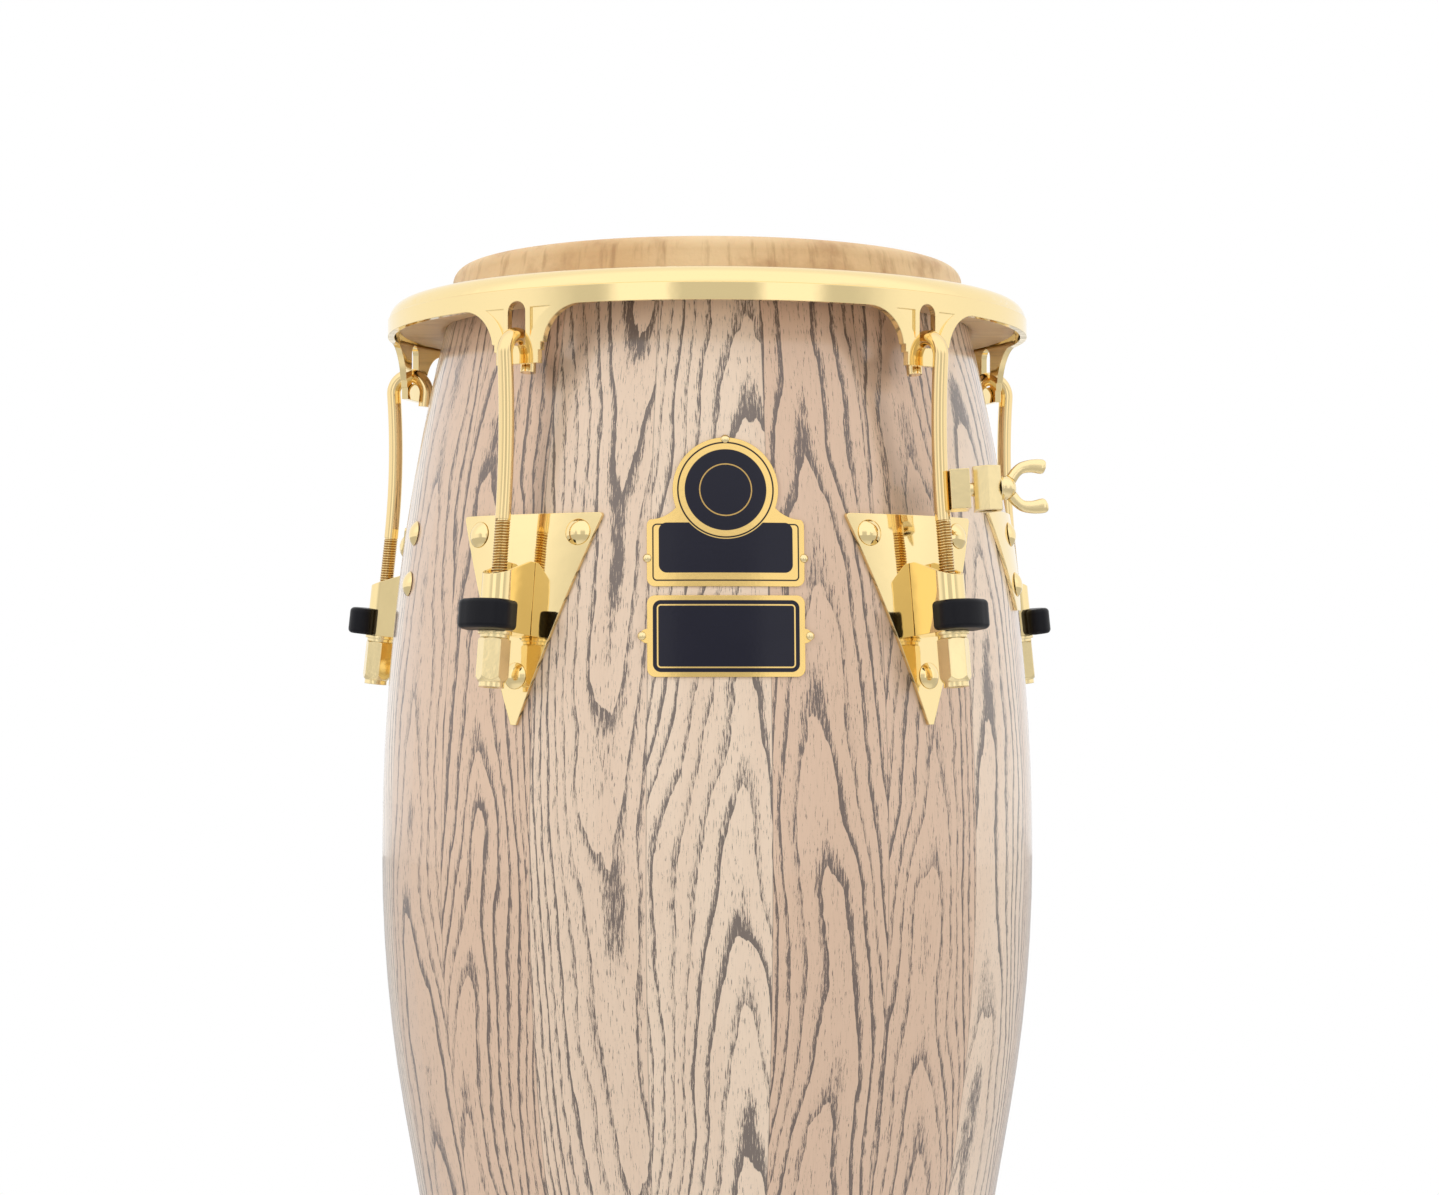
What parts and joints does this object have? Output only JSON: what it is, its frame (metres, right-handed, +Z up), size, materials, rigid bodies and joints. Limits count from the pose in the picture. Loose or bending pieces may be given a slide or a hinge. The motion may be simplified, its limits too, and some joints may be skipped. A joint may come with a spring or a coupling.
{
  "type": "conga drum",
  "caption": "Tall staved wooden conga drum with a hide head, gold rim, hooked tuning rods in gold lugs, and a rod clamp for a small accessory.",
  "frame": {"origin": "centre of the foot's circle on the floor", "axes": "+Z up the drum's axis to the head, -Y towards the player's badge side, +X to the right of the badge"},
  "size_m": [0.407, 0.3927, 0.7619],
  "materials": {
    "ash_wood": "gloss-lacquered open-grained ash",
    "hoop_wood": "plain unlacquered hoops inside the shell",
    "rawhide": "mottled hide",
    "gold_plate": "mirror-polished gold plating on steel",
    "gold_casting": "gold plating on a smooth casting",
    "badge_gold": "thin gold sheet with dark enamel fields",
    "inner_steel": "zinc-coated steel",
    "black_rubber": "smooth black rubber"
  },
  "bodies": {
    "shell": {"shell_staves": "ash_wood", "top_reinforcing_hoop": "hoop_wood", "bottom_reinforcing_hoop": "hoop_wood", "rubber_foot": "black_rubber", "drum_head": "rawhide", "lug_bolts": "gold_plate", "side_bolts": "gold_plate", "lug_bolt_washers": "inner_steel", "lug_bolt_nuts": "inner_steel", "side_bolt_washers": "inner_steel", "side_bolt_nuts": "inner_steel", "side_bracket_plate": "gold_plate", "upper_badge": "badge_gold", "lower_badge": "badge_gold", "badge_screws": "badge_gold", "lug_plate_1": "gold_plate", "lug_cradle_1": "gold_plate", "shell_protector_1": "black_rubber", "seat_washer_1": "gold_casting", "lug_plate_2": "gold_plate", "lug_cradle_2": "gold_plate", "shell_protector_2": "black_rubber", "seat_washer_2": "gold_casting", "lug_plate_3": "gold_plate", "lug_cradle_3": "gold_plate", "shell_protector_3": "black_rubber", "seat_washer_3": "gold_casting", "lug_plate_4": "gold_plate", "lug_cradle_4": "gold_plate", "shell_protector_4": "black_rubber", "seat_washer_4": "gold_casting", "lug_plate_5": "gold_plate", "lug_cradle_5": "gold_plate", "shell_protector_5": "black_rubber", "seat_washer_5": "gold_casting"},
    "tension_ring": {"rim": "gold_plate", "flesh_hoop": "inner_steel", "head_tuck": "rawhide", "hook_rod_1": "gold_plate", "hook_rod_2": "gold_plate", "hook_rod_3": "gold_plate", "hook_rod_4": "gold_plate", "hook_rod_5": "gold_plate"},
    "nut_1": {"tuning_nut_1": "gold_casting"},
    "nut_2": {"tuning_nut_2": "gold_casting"},
    "nut_3": {"tuning_nut_3": "gold_casting"},
    "nut_4": {"tuning_nut_4": "gold_casting"},
    "nut_5": {"tuning_nut_5": "gold_casting"},
    "clamp": {"clamp_jaw": "gold_casting", "clamp_barrel": "gold_casting"},
    "wing": {"wing_screw": "gold_casting"}
  },
  "joints": [
    {"name": "rim_slide", "type": "slide", "parent": "shell", "child": "tension_ring", "axis": [0, 0, 1], "range_m": [-0.00282, 0.00282]},
    {"name": "nut_1_turn", "type": "hinge", "parent": "shell", "child": "nut_1", "pos_m": [-0.11306, -0.15562, 0.58031], "axis": [0.0668, 0.0919, 0.9935], "range_deg": [-720, 720]},
    {"name": "nut_2_turn", "type": "hinge", "parent": "shell", "child": "nut_2", "pos_m": [0.11306, -0.15562, 0.58031], "axis": [-0.0668, 0.0919, 0.9935], "range_deg": [-720, 720]},
    {"name": "nut_3_turn", "type": "hinge", "parent": "shell", "child": "nut_3", "pos_m": [0.18294, 0.05944, 0.58031], "axis": [-0.1081, -0.0351, 0.9935], "range_deg": [-720, 720]},
    {"name": "nut_4_turn", "type": "hinge", "parent": "shell", "child": "nut_4", "pos_m": [0, 0.19235, 0.58031], "axis": [0, -0.1136, 0.9935], "range_deg": [-720, 720]},
    {"name": "nut_5_turn", "type": "hinge", "parent": "shell", "child": "nut_5", "pos_m": [-0.18294, 0.05944, 0.58031], "axis": [0.1081, -0.0351, 0.9935], "range_deg": [-720, 720]},
    {"name": "clamp_swivel", "type": "hinge", "parent": "tension_ring", "child": "clamp", "pos_m": [0.10978, -0.1511, 0.63131], "axis": [-0.0471, 0.0648, 0.9968], "range_deg": [-140, 45]},
    {"name": "wing_turn", "type": "hinge", "parent": "clamp", "child": "wing", "pos_m": [0.10978, -0.1511, 0.63131], "axis": [0.9972, -0.0542, 0.0506], "range_deg": [-1080, 360]}
  ],
  "couplings": [
    {"joint": "nut_1_turn", "follows": "rim_slide", "rad_per_m": -4453},
    {"joint": "nut_2_turn", "follows": "rim_slide", "rad_per_m": -4453},
    {"joint": "nut_3_turn", "follows": "rim_slide", "rad_per_m": -4453},
    {"joint": "nut_4_turn", "follows": "rim_slide", "rad_per_m": -4453},
    {"joint": "nut_5_turn", "follows": "rim_slide", "rad_per_m": -4453}
  ]
}
